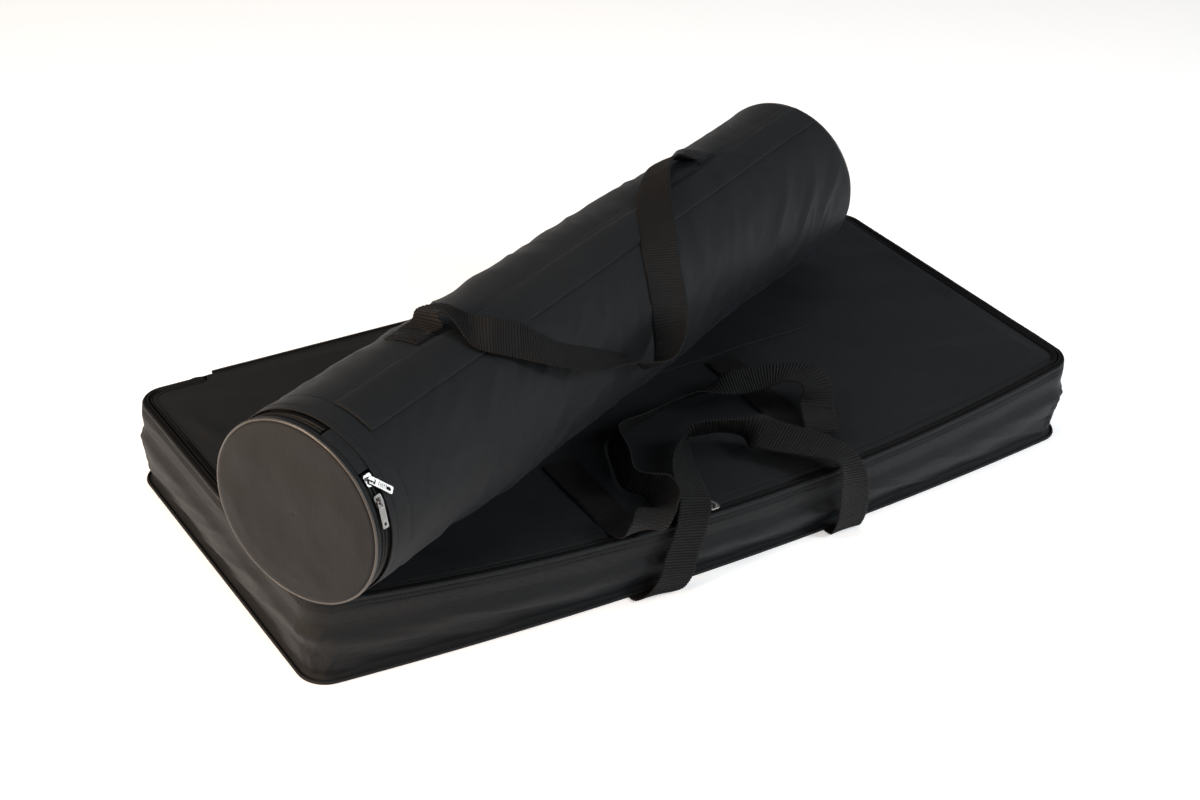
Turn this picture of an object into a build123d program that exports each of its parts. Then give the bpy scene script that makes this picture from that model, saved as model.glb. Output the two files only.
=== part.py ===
"""Carrying bags of a music stand: a flat rectangular bag with a zipped lid, and a round tube bag lying on it.

Millimetres. The origin is the centre of the flat bag's underside, +X runs along the flat bag,
+Y from its handle side to its hinge side, and +Z is up.
"""

import math
import os

from build123d import *

os.makedirs("parts", exist_ok=True)

# flat bag
BAG_LENGTH = 1000
BAG_WIDTH = 443
BAG_HEIGHT = 107
FRONT_BOW = 26  # the filled bag pushes its handle side out at the middle
RIM_SAG = 32  # the rim drops at the middle of the handle side
CORNER_RADIUS = 30
CLOTH = 2
BASE_THICKNESS = 3
BOARD_THICKNESS = 3
LID_THICKNESS = 3

# zip of the lid, measured inwards from the bag's outline
TAPE_WIDTH = 4.2
COIL_WIDTH = 2.5
COIL_GAP = 1.6
COIL_HEIGHT = 2.6
TAPE_THICKNESS = 1.2
ZIP_RETURN = 80  # how far the zip goes on round each hinge side corner

# webbing of the handles
WEBBING_WIDTH = 40
WEBBING_THICKNESS = 1.6

# tube bag
TUBE_RADIUS = 97
TUBE_LENGTH = 938
TUBE_TURN = 24.2  # degrees between the tube's axis and +X
TUBE_MOUTH = (-505, -210)  # plan position of the mouth's centre
TUBE_GAP = 0.5  # clearance over the lid
WALL = 2.5
LINER = 3
CAP_THICKNESS = 2.5
HINGE_ROLL = 31.5  # degrees round the tube from its top to the cap's hinge
PATCH_HALF_ANGLE = 15

# zip sliders
SLIDER_LENGTH = 12
SLIDER_WIDTH = 10
PLATE = 1.6
PULL_LENGTH = 28
PULL_WIDTH = 8

RIM_INSET = TAPE_WIDTH + COIL_WIDTH + COIL_GAP / 2  # from the outline to the middle of the zip
LID_INSET = 2 * RIM_INSET
FRONT_PLANE = BAG_WIDTH / 2 + FRONT_BOW + 12
OVERHANG = 20  # how far the cutting layers reach past the bag's ends


def export(part, name):
    """Write one finished piece under its own name."""
    part.label = name
    export_step(part, f"parts/{name}.step")


def bag_plan(inset):
    """Plan of the flat bag moved in by inset, with its handle side bowed out."""
    half, side = BAG_LENGTH / 2, BAG_WIDTH / 2
    with BuildSketch() as plan:
        with BuildLine():
            front = ThreePointArc((-half, -side), (0, -side - FRONT_BOW), (half, -side))
            Polyline(front @ 1, (half, side), (-half, side), front @ 0)
        make_face()
        fillet(plan.vertices(), CORNER_RADIUS)
        if inset:
            offset(amount=-inset)
    return plan.sketch


def lid_layer(low, high):
    """Slab between two heights over the lid's top, which is level at the back and sags along the front."""
    end = BAG_LENGTH / 2 + OVERHANG
    sag_radius = ((BAG_LENGTH / 2) ** 2 + RIM_SAG**2) / (2 * RIM_SAG)
    middle = BAG_HEIGHT - RIM_SAG
    tip = middle + sag_radius - math.sqrt(sag_radius**2 - end**2)
    with BuildPart() as layer:
        with BuildSketch(Plane.XZ.offset(FRONT_PLANE)):
            with BuildLine():
                lower = ThreePointArc((-end, tip + low), (0, middle + low), (end, tip + low))
                upper = ThreePointArc((-end, tip + high), (0, middle + high), (end, tip + high))
                Line(lower @ 0, upper @ 0)
                Line(lower @ 1, upper @ 1)
            make_face()
        with BuildSketch(Plane.XZ.offset(-BAG_WIDTH / 2 - 2)):
            with BuildLine():
                bottom = Line((-end, BAG_HEIGHT + low), (end, BAG_HEIGHT + low))
                top = Line((-end, BAG_HEIGHT + high), (end, BAG_HEIGHT + high))
                Line(bottom @ 0, top @ 0)
                Line(bottom @ 1, top @ 1)
            make_face()
        loft(ruled=True)
    return layer.part


def lid_top(x, y):
    """Height of the lid's top surface at a point of the plan."""
    sag_radius = ((BAG_LENGTH / 2) ** 2 + RIM_SAG**2) / (2 * RIM_SAG)
    front = BAG_HEIGHT - RIM_SAG + sag_radius - math.sqrt(sag_radius**2 - x**2)
    share = (BAG_WIDTH / 2 + 2 - y) / (BAG_WIDTH / 2 + 2 + FRONT_PLANE)
    return BAG_HEIGHT + (front - BAG_HEIGHT) * share


def rim_band(outer, inner, low, high):
    """Band along the rim between two insets, left open along the hinge side."""
    outside, inside, layer = bag_plan(outer), bag_plan(inner), lid_layer(low, high)
    with BuildPart() as band:
        with BuildSketch():
            add(outside)
            add(inside, mode=Mode.SUBTRACT)
        extrude(amount=BAG_HEIGHT + OVERHANG)
        add(layer, mode=Mode.INTERSECT)
        with Locations((0, BAG_WIDTH / 2, BAG_HEIGHT)):
            Box(BAG_LENGTH - 2 * ZIP_RETURN, 4 * LID_INSET, 3 * BAG_HEIGHT, mode=Mode.SUBTRACT)
    return band.part


def webbing(stations):
    """Strap through pairs of points, one on each selvedge, folded from flat facets."""
    middles = [(Vector(p) + Vector(q)) * 0.5 for p, q in stations]
    half, thin = WEBBING_WIDTH / 2, WEBBING_THICKNESS / 2
    rings = []
    for n, (p, q) in enumerate(stations):
        across = (Vector(q) - Vector(p)).normalized()
        along = middles[min(n + 1, len(middles) - 1)] - middles[max(n - 1, 0)]
        along = (along - across * along.dot(across)).normalized()
        section = Plane(origin=middles[n], x_dir=across, z_dir=along)
        corners = [(-half, -thin), (half, -thin), (half, thin), (-half, thin)]
        rings.append([section.from_local_coords((u, v, 0)) for u, v in corners])
    facets = [Face(Wire.make_polygon(ring, close=True)) for ring in (rings[0], rings[-1])]
    for here, there in zip(rings, rings[1:]):
        for i, j in ((0, 1), (1, 2), (2, 3), (3, 0)):
            facets.append(Face(Wire.make_polygon([here[i], here[j], there[j]], close=True)))
            facets.append(Face(Wire.make_polygon([here[i], there[j], there[i]], close=True)))
    return Solid(Shell(facets))


# ---------------------------------------------------------------- flat bag, lower part

STRIP_X = (-121, 139)  # middle of each webbing strip on the underside
STRIP_LENGTH = 150

with BuildPart() as base_panel:
    add(bag_plan(0))
    extrude(amount=BASE_THICKNESS)
    with Locations(*[(x, -BAG_WIDTH / 2 - FRONT_BOW, 0) for x in STRIP_X]):
        Box(
            WEBBING_WIDTH + 0.4,
            2 * STRIP_LENGTH + 0.4,
            2 * WEBBING_THICKNESS + 0.2,
            mode=Mode.SUBTRACT,
        )
base_panel.part.label = "base_panel"
export_step(base_panel.part, "parts/base_panel.step")

with BuildPart() as base_board:
    with BuildSketch(Plane.XY.offset(BASE_THICKNESS)):
        add(bag_plan(CLOTH + 6))
    extrude(amount=BOARD_THICKNESS)
base_board.part.label = "base_board"
export_step(base_board.part, "parts/base_board.step")

strips = {"left": STRIP_X[0], "right": STRIP_X[1]}
for side, x in strips.items():
    with BuildPart() as base_strip:
        with Locations((x, -BAG_WIDTH / 2 - FRONT_BOW + 5 + STRIP_LENGTH / 2, WEBBING_THICKNESS / 2)):
            Box(WEBBING_WIDTH, STRIP_LENGTH - 10, WEBBING_THICKNESS)
    base_strip.part.label = f"base_handle_strip_{side}"
    export_step(base_strip.part, f"parts/base_handle_strip_{side}.step")

# the gusset is sewn from four walls that meet beside the rounded corners
over_wall = lid_layer(-3.5, BAG_HEIGHT)
outer_plan, inner_plan = bag_plan(0), bag_plan(CLOTH)
long_side = BAG_LENGTH - 2 * CORNER_RADIUS
wall_places = {
    "front": (0, -BAG_WIDTH / 2, long_side, BAG_WIDTH),
    "back": (0, BAG_WIDTH / 2, long_side, BAG_WIDTH),
    "left": (-BAG_LENGTH / 2, 0, 2 * CORNER_RADIUS, 2 * BAG_WIDTH),
    "right": (BAG_LENGTH / 2, 0, 2 * CORNER_RADIUS, 2 * BAG_WIDTH),
}
for side, (x, y, size_x, size_y) in wall_places.items():
    with BuildPart() as wall:
        with BuildSketch(Plane.XY.offset(BASE_THICKNESS)):
            add(outer_plan)
            add(inner_plan, mode=Mode.SUBTRACT)
        extrude(amount=BAG_HEIGHT)
        add(over_wall, mode=Mode.SUBTRACT)
        with Locations((x, y, BAG_HEIGHT)):
            Box(size_x, size_y, 3 * BAG_HEIGHT, mode=Mode.INTERSECT)
    wall.part.label = f"{side}_wall"
    export_step(wall.part, f"parts/{side}_wall.step")

# topstitched facing outside the rim, and the bag's half of the zip on the wall's top edge
FACING = 0.8
rim_facing_part = rim_band(-FACING, 0, -34, -2.2)
bag_tape_part = rim_band(0, TAPE_WIDTH, -2.2, -2.2 + TAPE_THICKNESS)
bag_coil_part = rim_band(TAPE_WIDTH, TAPE_WIDTH + COIL_WIDTH, -COIL_HEIGHT - 0.3, -0.3)
rim_pieces = {"rim_facing": rim_facing_part, "bag_zip_tape": bag_tape_part, "bag_zip_coil": bag_coil_part}
for name, solid in rim_pieces.items():
    export(solid, name)

with BuildPart() as zip_end_tabs:
    tab_x = BAG_LENGTH / 2 - ZIP_RETURN - 6.5
    with Locations(*[(x, BAG_WIDTH / 2 + 0.6, BAG_HEIGHT - 14) for x in (-tab_x, tab_x)]):
        Box(12, 1.2, 22)
zip_end_tabs.part.label = "zip_end_tabs"
export_step(zip_end_tabs.part, "parts/zip_end_tabs.step")

# rolled fold along the hinge side, which the lid turns about
LID_HINGE = (BAG_WIDTH / 2 + 2.2, BAG_HEIGHT - 1.5)
with BuildPart() as lid_hinge_fold:
    with BuildSketch(Plane.YZ):
        with Locations(LID_HINGE):
            Circle(2)
    extrude(amount=BAG_LENGTH / 2 - ZIP_RETURN - 14, both=True)
lid_hinge_fold.part.label = "lid_hinge_fold"
export_step(lid_hinge_fold.part, "parts/lid_hinge_fold.step")

# ---------------------------------------------------------------- flat bag, lid

lid_slab = lid_layer(-LID_THICKNESS, 0)
with BuildPart() as lid_panel:
    add(bag_plan(LID_INSET))
    with BuildSketch():
        with Locations((0, BAG_WIDTH / 2 - LID_INSET)):
            Rectangle(BAG_LENGTH - 2 * ZIP_RETURN - 26, 2 * LID_INSET - 0.6)
    extrude(amount=BAG_HEIGHT + OVERHANG)
    add(lid_slab, mode=Mode.INTERSECT)
lid_panel.part.label = "lid_panel"
export_step(lid_panel.part, "parts/lid_panel.step")

lid_tape_part = rim_band(LID_INSET - TAPE_WIDTH, LID_INSET, -2.2, -2.2 + TAPE_THICKNESS)
lid_coil_inset = LID_INSET - TAPE_WIDTH - COIL_WIDTH
lid_coil_part = rim_band(lid_coil_inset, lid_coil_inset + COIL_WIDTH, -COIL_HEIGHT - 0.3, -0.3)
export(lid_tape_part, "lid_zip_tape")
export(lid_coil_part, "lid_zip_coil")

# middle line, front end and back end of each webbing strip sewn on the lid
lid_strips = {"left": (-143, -231, -100), "right": (134, -183, -10)}
webbing_layer = lid_layer(0, WEBBING_THICKNESS)
for side, (x, front_end, back_end) in lid_strips.items():
    with BuildPart() as lid_strip:
        with Locations((x, (front_end + back_end) / 2, BAG_HEIGHT / 2)):
            Box(WEBBING_WIDTH, back_end - front_end, 2 * BAG_HEIGHT)
        add(webbing_layer, mode=Mode.INTERSECT)
    lid_strip.part.label = f"lid_handle_strip_{side}"
    export_step(lid_strip.part, f"parts/lid_handle_strip_{side}.step")

# ---------------------------------------------------------------- loops of the flat bag's two handles

# The lid handle stands on its selvedge. Each station gives the lower and the upper selvedge.
lid_handle_loop_part = webbing(
    [
        ((115, -185, 91), (153, -187, 93)),
        ((118, -197, 97), (154, -205, 97)),
        ((124, -191, 106), (158, -204, 106)),
        ((145, -152, 106), (175, -178, 108)),
        ((152, -148, 120), (190, -152, 116)),
        ((150, -142, 127), (188, -130, 129)),
        ((140, -130, 126), (172, -106, 128)),
        ((126, -122, 120), (148, -90, 124)),
        ((106, -116, 115), (120, -80, 122)),
        ((86, -111, 114), (100, -75, 120)),
        ((62, -103, 118), (78, -70, 105)),
        ((43, -96, 121), (60, -72, 101)),
        ((14, -95, 119), (30, -71, 97)),
        ((-30, -101, 118), (-14, -79, 92)),
        ((-62, -104, 117), (-47, -86, 92)),
        ((-77, -117, 118), (-75, -98, 92)),
        ((-89, -156, 119), (-95, -140, 89)),
        ((-103, -190, 118), (-104, -174, 86)),
        ((-92, -207, 119), (-94, -193, 84)),
        ((-76, -217, 117), (-93, -210, 83)),
        ((-80, -240, 114), (-99, -229, 84)),
        ((-96, -262, 114), (-116, -232, 96)),
        ((-106, -271, 110), (-134, -243, 110)),
        ((-115, -265, 90), (-149, -257, 107)),
        ((-121, -249, 87), (-159, -256, 90)),
        ((-123, -239, 85.8), (-163, -239, 85.8)),
        ((-123, -227, 84.4), (-163, -227, 84.6)),
    ]
)
export(lid_handle_loop_part, "lid_handle_loop")

# The base handle comes out from under the bag, up over the rim and across the front of the lid.
base_handle_loop_part = webbing(
    [
        ((-141, -251, 1), (-101, -251, 1)),
        ((-138, -259, 3), (-98, -261, 3)),
        ((-124, -262, 10), (-85, -266, 6)),
        ((-114, -264, 28), (-75, -269, 22)),
        ((-108, -261, 48), (-69, -267, 40)),
        ((-96, -257, 70), (-58, -262, 62)),
        ((-88, -252, 88), (-49, -256, 82)),
        ((-77, -238, 103), (-40, -240, 92)),
        ((-60, -200, 108), (-26, -192, 97)),
        ((-36, -166, 107), (-5, -150, 94)),
        ((-16, -153, 113), (7, -132, 93)),
        ((0, -153, 124), (17, -137, 96)),
        ((26, -164, 127), (42, -146, 98)),
        ((52, -174, 126), (62, -161, 94)),
        ((84, -178, 118), (58, -190, 98)),
        ((103, -194, 114), (70, -212, 99)),
        ((124, -218, 111), (91, -238, 103)),
        ((138, -238, 105), (104, -256, 106)),
        ((147, -256, 97), (110, -267, 105)),
        ((149, -270, 85), (112, -275, 95)),
        ((152, -274, 66), (115, -275, 72)),
        ((158, -271, 45), (119, -271, 49)),
        ((160, -268, 22), (120, -268, 24)),
        ((158, -264, 7), (118, -264, 7)),
        ((159, -258, 2), (119, -258, 2)),
        ((159, -251, 1), (119, -251, 1)),
    ]
)
export(base_handle_loop_part, "base_handle_loop")

# ---------------------------------------------------------------- zip sliders

SLIDER_GAP = 0.9  # between the slider's plates and the coils
BAIL_RISE = 2.6
BAIL_BAR = 1.2


def zip_slider(middle, normal, travel, reach):
    """Two plates joined by a thin neck between the coils, with a bail standing on the outer plate.

    The middle lies at the coils' mid height. Normal points out of the bag, travel along the zip,
    and the bail's arch stands along reach, the way its pull lies.
    """
    seat = Plane(origin=middle, x_dir=travel, z_dir=normal)
    lift = COIL_HEIGHT / 2 + SLIDER_GAP
    arch = Plane(origin=seat.origin + seat.z_dir * (lift + PLATE), x_dir=reach, z_dir=normal)
    with BuildPart() as slider:
        for low in (lift, -lift - PLATE):
            with BuildSketch(seat.offset(low)):
                RectangleRounded(SLIDER_LENGTH, SLIDER_WIDTH, 2.5)
            extrude(amount=PLATE)
        with BuildSketch(seat.offset(-lift - PLATE / 2)):
            Rectangle(5, COIL_GAP - 0.6)
        extrude(amount=2 * lift + PLATE)
        with BuildSketch(arch):
            with Locations((-2.7, 0), (2.7, 0)):
                Rectangle(1.6, 2.8)
        extrude(amount=BAIL_RISE)
        with BuildSketch(arch.offset(BAIL_RISE)):
            Rectangle(7, 2.8)
        extrude(amount=BAIL_BAR)
    return slider.part


PULL_RISE = COIL_HEIGHT / 2 + SLIDER_GAP + PLATE + BAIL_RISE / 2


def zip_pull(pivot, normal, reach, length):
    """Flat pull whose ring passes under a slider's bail at the pivot."""
    seat = Plane(origin=pivot, x_dir=reach, z_dir=normal).offset(-0.6)
    with BuildPart() as pull:
        with BuildSketch(seat):
            with Locations((length / 2 - 0.6, 0)):
                RectangleRounded(length, PULL_WIDTH, 1.2)
            with Locations((3.4, 0)):
                Rectangle(5.6, 5.2, mode=Mode.SUBTRACT)
            with Locations((length - 4.6, 0)):
                Circle(1.8, mode=Mode.SUBTRACT)
        extrude(amount=1.2)
    return pull.part


rim_bow_radius = ((BAG_LENGTH / 2) ** 2 + FRONT_BOW**2) / (2 * FRONT_BOW)
lid_slope = RIM_SAG / (BAG_WIDTH / 2 + 2 + FRONT_PLANE)
LID_SLIDERS = {"left": (-56, 105), "right": (-33, 112)}  # place along X, and where the pull points
for side, (x, heading) in LID_SLIDERS.items():
    bow = rim_bow_radius - math.sqrt(rim_bow_radius**2 - x**2)
    y = -BAG_WIDTH / 2 - FRONT_BOW + RIM_INSET + bow
    middle = Vector(x, y, lid_top(x, y) - 0.3 - COIL_HEIGHT / 2)
    normal = Vector(0, -lid_slope, 1).normalized()
    turn = math.radians(heading)
    reach = Vector(math.cos(turn), math.sin(turn), lid_slope * math.sin(turn))
    slider = zip_slider(middle, normal, (1, 0, 0), reach)
    export(slider, f"lid_slider_{side}")
    pull = zip_pull(middle + normal * PULL_RISE, normal, reach, PULL_LENGTH)
    export(pull, f"lid_pull_{side}")

# ---------------------------------------------------------------- tube bag

TUBE_RISE = BAG_HEIGHT + TUBE_RADIUS + 1.5 + TUBE_GAP
turn = math.radians(TUBE_TURN)
TUBE_AXIS = Vector(math.cos(turn), math.sin(turn), 0)
TUBE_FRONT = Vector(math.sin(turn), -math.cos(turn), 0)
TUBE = Plane(origin=(*TUBE_MOUTH, TUBE_RISE), x_dir=(0, 0, 1), z_dir=TUBE_AXIS)

# places along the tube, measured from the mouth
CAP_BAND = (CAP_THICKNESS + 0.2, 8)
CAP_TAPE = (8, 12)
CAP_COIL = (12, 14.5)
TUBE_COIL = (16.1, 18.6)
TUBE_TAPE = (18.6, 22.6)
HEM_END = 52
ZIP_RADIUS = TUBE_RADIUS - 0.6  # outer radius of the coils


def tube_ring(start, end, outer, inner):
    """Tube between two distances from the mouth."""
    with BuildPart() as ring:
        with BuildSketch(TUBE.offset(start)):
            Circle(outer)
            if inner:
                Circle(inner, mode=Mode.SUBTRACT)
        extrude(amount=end - start)
    return ring.part


def tube_patch(start, end, outer, inner, first, last):
    """Piece of a ring between two angles, counted from the top of the tube towards the front."""
    reach = 2 * outer
    middle, half = math.radians((first + last) / 2), math.radians((last - first) / 2)
    corners = [
        (0, 0),
        (reach * math.cos(middle - half), reach * math.sin(middle - half)),
        (reach * math.cos(middle + half), reach * math.sin(middle + half)),
    ]
    with BuildPart() as patch:
        with BuildSketch(TUBE.offset(start)):
            Circle(outer)
            Circle(inner, mode=Mode.SUBTRACT)
            with BuildLine():
                Polyline(*corners, close=True)
            make_face(mode=Mode.INTERSECT)
        extrude(amount=end - start)
    return patch.part


def tube_point(along, angle, radius):
    """Point given by its distance from the mouth, its angle from the top and its radius."""
    a = math.radians(angle)
    up = Vector(0, 0, math.cos(a))
    return Vector(*TUBE.origin) + TUBE_AXIS * along + (up + TUBE_FRONT * math.sin(a)) * radius


tube_wall_part = tube_ring(TUBE_TAPE[1], TUBE_LENGTH - 3.2, TUBE_RADIUS, TUBE_RADIUS - WALL)
export(tube_wall_part, "tube_wall")
liner_radius = TUBE_RADIUS - WALL - 0.2
liner_part = tube_ring(TUBE_TAPE[1] + 1.5, TUBE_LENGTH - 3.2, liner_radius, liner_radius - LINER)
export(liner_part, "tube_liner")
export(tube_ring(TUBE_TAPE[1], HEM_END, TUBE_RADIUS + 1, TUBE_RADIUS), "tube_mouth_hem")
export(tube_ring(TUBE_LENGTH - 2.5, TUBE_LENGTH, TUBE_RADIUS - 1.7, 0), "tube_end_disc")
export(tube_ring(CAP_BAND[0] + 0.5, CAP_BAND[1], TUBE_RADIUS, TUBE_RADIUS - WALL), "cap_rim_band")
export(tube_ring(0, CAP_THICKNESS, TUBE_RADIUS - 1.7, 0), "cap_disc")
for name, start in {"cap_piping": 0, "tube_end_piping": TUBE_LENGTH - 3}.items():
    export(tube_ring(start, start + 3, TUBE_RADIUS + 1.5, TUBE_RADIUS - 1.5), name)
seam_band_part = tube_patch(
    HEM_END + 0.2, TUBE_LENGTH - 3.2, TUBE_RADIUS + 0.8, TUBE_RADIUS, 0, 30
)
export(seam_band_part, "tube_seam_band")

# the zip runs round the mouth from one end of the hinge patch to the other
zip_from = HINGE_ROLL + PATCH_HALF_ANGLE + 3
zip_to = HINGE_ROLL - PATCH_HALF_ANGLE - 3
hinge_gap = tube_patch(0, HEM_END, TUBE_RADIUS + 5, TUBE_RADIUS - 20, zip_to, zip_from)
zip_rings = {
    "cap_zip_tape": (CAP_TAPE, ZIP_RADIUS, TAPE_THICKNESS),
    "cap_zip_coil": (CAP_COIL, ZIP_RADIUS, COIL_HEIGHT),
    "tube_zip_coil": (TUBE_COIL, ZIP_RADIUS, COIL_HEIGHT),
    "tube_zip_tape": (TUBE_TAPE, ZIP_RADIUS, TAPE_THICKNESS),
}
for name, (places, outer, thickness) in zip_rings.items():
    ring = tube_ring(*places, outer, outer - thickness)
    with BuildPart() as zip_side:
        add(ring)
        add(hinge_gap, mode=Mode.SUBTRACT)
    export(zip_side.part, name)
patch_ends = (HINGE_ROLL - PATCH_HALF_ANGLE, HINGE_ROLL + PATCH_HALF_ANGLE)
hinge_patch_part = tube_patch(
    CAP_BAND[1] + 0.3, TUBE_TAPE[1], TUBE_RADIUS + 0.6, TUBE_RADIUS - 2.2, *patch_ends
)
export(hinge_patch_part, "cap_hinge_patch")

# ends of the tube's handle, sewn on over the seam
anchor_places = {"left": (186, 212), "right": (724, 757)}
for side, (start, end) in anchor_places.items():
    anchor_part = tube_patch(start, end, TUBE_RADIUS + 2.6, TUBE_RADIUS + 1, -23.5, 0)
    export(anchor_part, f"tube_handle_anchor_{side}")

# The tube's handle lies twisted on the front of the tube.
# Each station gives both selvedges as distance from the mouth, angle from the top, and radius.
tube_handle_stations = [
    ((213, -23, 101.6), (213, 1, 101.6)),
    ((220, -18, 106), (219, 5, 107)),
    ((230, -16, 114), (218, 2, 122)),
    ((249, -8, 112), (226, 7, 115)),
    ((250, 7, 112), (224, 23, 103)),
    ((262, 18, 114), (235, 33, 103)),
    ((287, 29, 110), (263, 45, 104)),
    ((322, 48, 101), (298, 62, 122)),
    ((364, 64, 101), (341, 71, 128)),
    ((421, 83, 101), (396, 79, 126)),
    ((440, 94, 110), (417, 83, 126)),
    ((456, 94, 113), (444, 84, 145)),
    ((471, 86, 104), (480, 79, 140)),
    ((485, 60, 101), (510, 66, 127)),
    ((509, 36, 101), (536, 47, 122)),
    ((541, 20, 101), (564, 31, 124)),
    ((584, 2, 101), (601, 17, 121)),
    ((645, -16, 101), (653, 1, 119)),
    ((685, -25, 102), (687, -6, 117)),
    ((707, -25, 102), (702, -5, 114)),
    ((718, -24, 101.6), (714, -1, 107)),
    ((723, -23.5, 101.6), (723, 0, 101.6)),
]
tube_handle_loop_part = webbing(
    [(tube_point(*near), tube_point(*far)) for near, far in tube_handle_stations]
)
export(tube_handle_loop_part, "tube_handle_loop")

# angle of each slider round the mouth, and the place its pull reaches towards
CAP_SLIDERS = {"upper": (52, (36, 66, 103)), "lower": (64.5, (12, 84, 102.5))}
zip_middle = (CAP_COIL[1] + TUBE_COIL[0]) / 2
for side, (angle, tip) in CAP_SLIDERS.items():
    middle = tube_point(zip_middle, angle, ZIP_RADIUS - COIL_HEIGHT / 2)
    normal = (tube_point(0, angle, 1) - tube_point(0, angle, 0)).normalized()
    travel = TUBE_AXIS.cross(normal)
    pivot = middle + normal * PULL_RISE
    reach = (tube_point(*tip) - pivot).normalized()
    flat_reach = (reach - normal * reach.dot(normal)).normalized()
    slider = zip_slider(middle, normal, travel, flat_reach)
    export(slider, f"cap_slider_{side}")
    pull_normal = (normal - reach * normal.dot(reach)).normalized()
    export(zip_pull(pivot, pull_normal, reach, PULL_LENGTH), f"cap_pull_{side}")
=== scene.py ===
import math

import bmesh
import bpy
from mathutils import Matrix, Vector, noise


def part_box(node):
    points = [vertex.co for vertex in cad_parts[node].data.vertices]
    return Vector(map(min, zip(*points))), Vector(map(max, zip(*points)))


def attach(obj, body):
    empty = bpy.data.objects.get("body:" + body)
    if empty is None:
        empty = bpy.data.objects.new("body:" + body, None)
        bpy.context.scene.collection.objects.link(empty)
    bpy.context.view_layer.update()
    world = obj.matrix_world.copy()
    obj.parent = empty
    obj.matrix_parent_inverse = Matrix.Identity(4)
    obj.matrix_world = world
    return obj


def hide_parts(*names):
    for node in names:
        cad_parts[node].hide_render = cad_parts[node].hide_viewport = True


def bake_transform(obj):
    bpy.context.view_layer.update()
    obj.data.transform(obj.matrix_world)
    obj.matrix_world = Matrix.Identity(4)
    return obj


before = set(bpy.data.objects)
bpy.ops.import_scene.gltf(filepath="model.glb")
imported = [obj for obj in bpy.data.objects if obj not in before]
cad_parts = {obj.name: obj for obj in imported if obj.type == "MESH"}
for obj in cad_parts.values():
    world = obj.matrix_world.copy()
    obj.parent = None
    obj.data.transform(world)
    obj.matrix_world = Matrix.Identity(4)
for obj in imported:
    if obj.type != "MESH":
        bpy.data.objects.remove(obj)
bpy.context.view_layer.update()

# ---------------------------------------------------------------- camera, floor and studio light
# The set stands on a white floor, seen from above its cap end. A cool soft light hangs over the
# far right and a warmer one stands on the left, so cloth facing left looks brown.

azimuth, elevation, roll = math.radians(-33.85), math.radians(31.36), math.radians(2.96)
back = Vector(
    (
        math.sin(azimuth) * math.cos(elevation),
        -math.cos(azimuth) * math.cos(elevation),
        math.sin(elevation),
    )
)
level_right = (-back).cross(Vector((0, 0, 1))).normalized()
level_up = level_right.cross(-back)
right = level_right * math.cos(roll) + level_up * math.sin(roll)
up = level_up * math.cos(roll) - level_right * math.sin(roll)

camera_data = bpy.data.cameras.new("camera")
camera_data.lens = 63.45
camera_data.sensor_width = 36
camera_data.clip_end = 50
camera = bpy.data.objects.new("camera", camera_data)
bpy.context.collection.objects.link(camera)
camera.matrix_world = Matrix.Translation((-1.184, -1.728, 1.347)) @ Matrix(
    (right, up, back)
).transposed().to_4x4()
bpy.context.scene.camera = camera

LIGHTS = {
    # name: (place, size, watts, colour)
    "overhead": ((0.0, 0.2, 3.0), 1.6, 20, (0.95, 0.98, 1.0)),
    "right_front": ((1.7, -1.7, 1.4), 0.8, 35, (0.90, 0.96, 1.0)),
    "front": ((0.0, -2.6, 1.6), 0.9, 18, (0.92, 0.97, 1.0)),
    "left_high": ((-1.6, 0.4, 1.9), 0.9, 17, (1.0, 0.90, 0.80)),
    "left_low": ((-2.3, -0.3, 0.75), 0.8, 58, (1.0, 0.70, 0.48)),
}
for name, (place, size, watts, colour) in LIGHTS.items():
    light_data = bpy.data.lights.new(name, "AREA")
    light_data.shape = "DISK"
    light_data.size = size
    light_data.energy = watts
    light_data.color = colour
    light = bpy.data.objects.new(name, light_data)
    bpy.context.collection.objects.link(light)
    light.location = place
    light.rotation_euler = (Vector((0, 0, 0.1)) - Vector(place)).to_track_quat("-Z", "Y").to_euler()

world = bpy.data.worlds.new("studio")
world.use_nodes = True
world.node_tree.nodes["Background"].inputs["Color"].default_value = (1, 1, 1, 1)
world.node_tree.nodes["Background"].inputs["Strength"].default_value = 0.16
bpy.context.scene.world = world
bpy.context.scene.view_settings.view_transform = "Standard"
bpy.context.scene.view_settings.look = "None"


class Wire:
    """A socket in a material's node tree. Arithmetic on it adds Math nodes."""

    def __init__(self, tree, socket):
        self.tree = tree
        self.socket = socket

    def node(self, kind, settings=None, output=0, **inputs):
        """Adds a node of this kind, sets it up, fills its sockets and returns one output."""
        new = self.tree.nodes.new(kind)
        for key, value in (settings or {}).items():
            if key == "stops":
                ramp = new.color_ramp
                while len(ramp.elements) < len(value):
                    ramp.elements.new(0.5)
                for element, (place, colour) in zip(ramp.elements, value):
                    element.position = place
                    element.color = colour
            else:
                setattr(new, key, value)
        for key, value in inputs.items():
            name = key.replace("_", " ")
            socket = new.inputs[int(key[1:])] if key[0] == "i" and key[1:].isdigit() else new.inputs[name]
            if isinstance(value, Wire):
                self.tree.links.new(value.socket, socket)
            else:
                socket.default_value = value
        return Wire(self.tree, new.outputs[output])

    def math(self, operation, first, second=0.0):
        return self.node("ShaderNodeMath", {"operation": operation}, i0=first, i1=second)

    def __add__(self, other):
        return self.math("ADD", self, other)

    def __radd__(self, other):
        return self.math("ADD", other, self)

    def __sub__(self, other):
        return self.math("SUBTRACT", self, other)

    def __rsub__(self, other):
        return self.math("SUBTRACT", other, self)

    def __mul__(self, other):
        return self.math("MULTIPLY", self, other)

    def __rmul__(self, other):
        return self.math("MULTIPLY", other, self)


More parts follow.
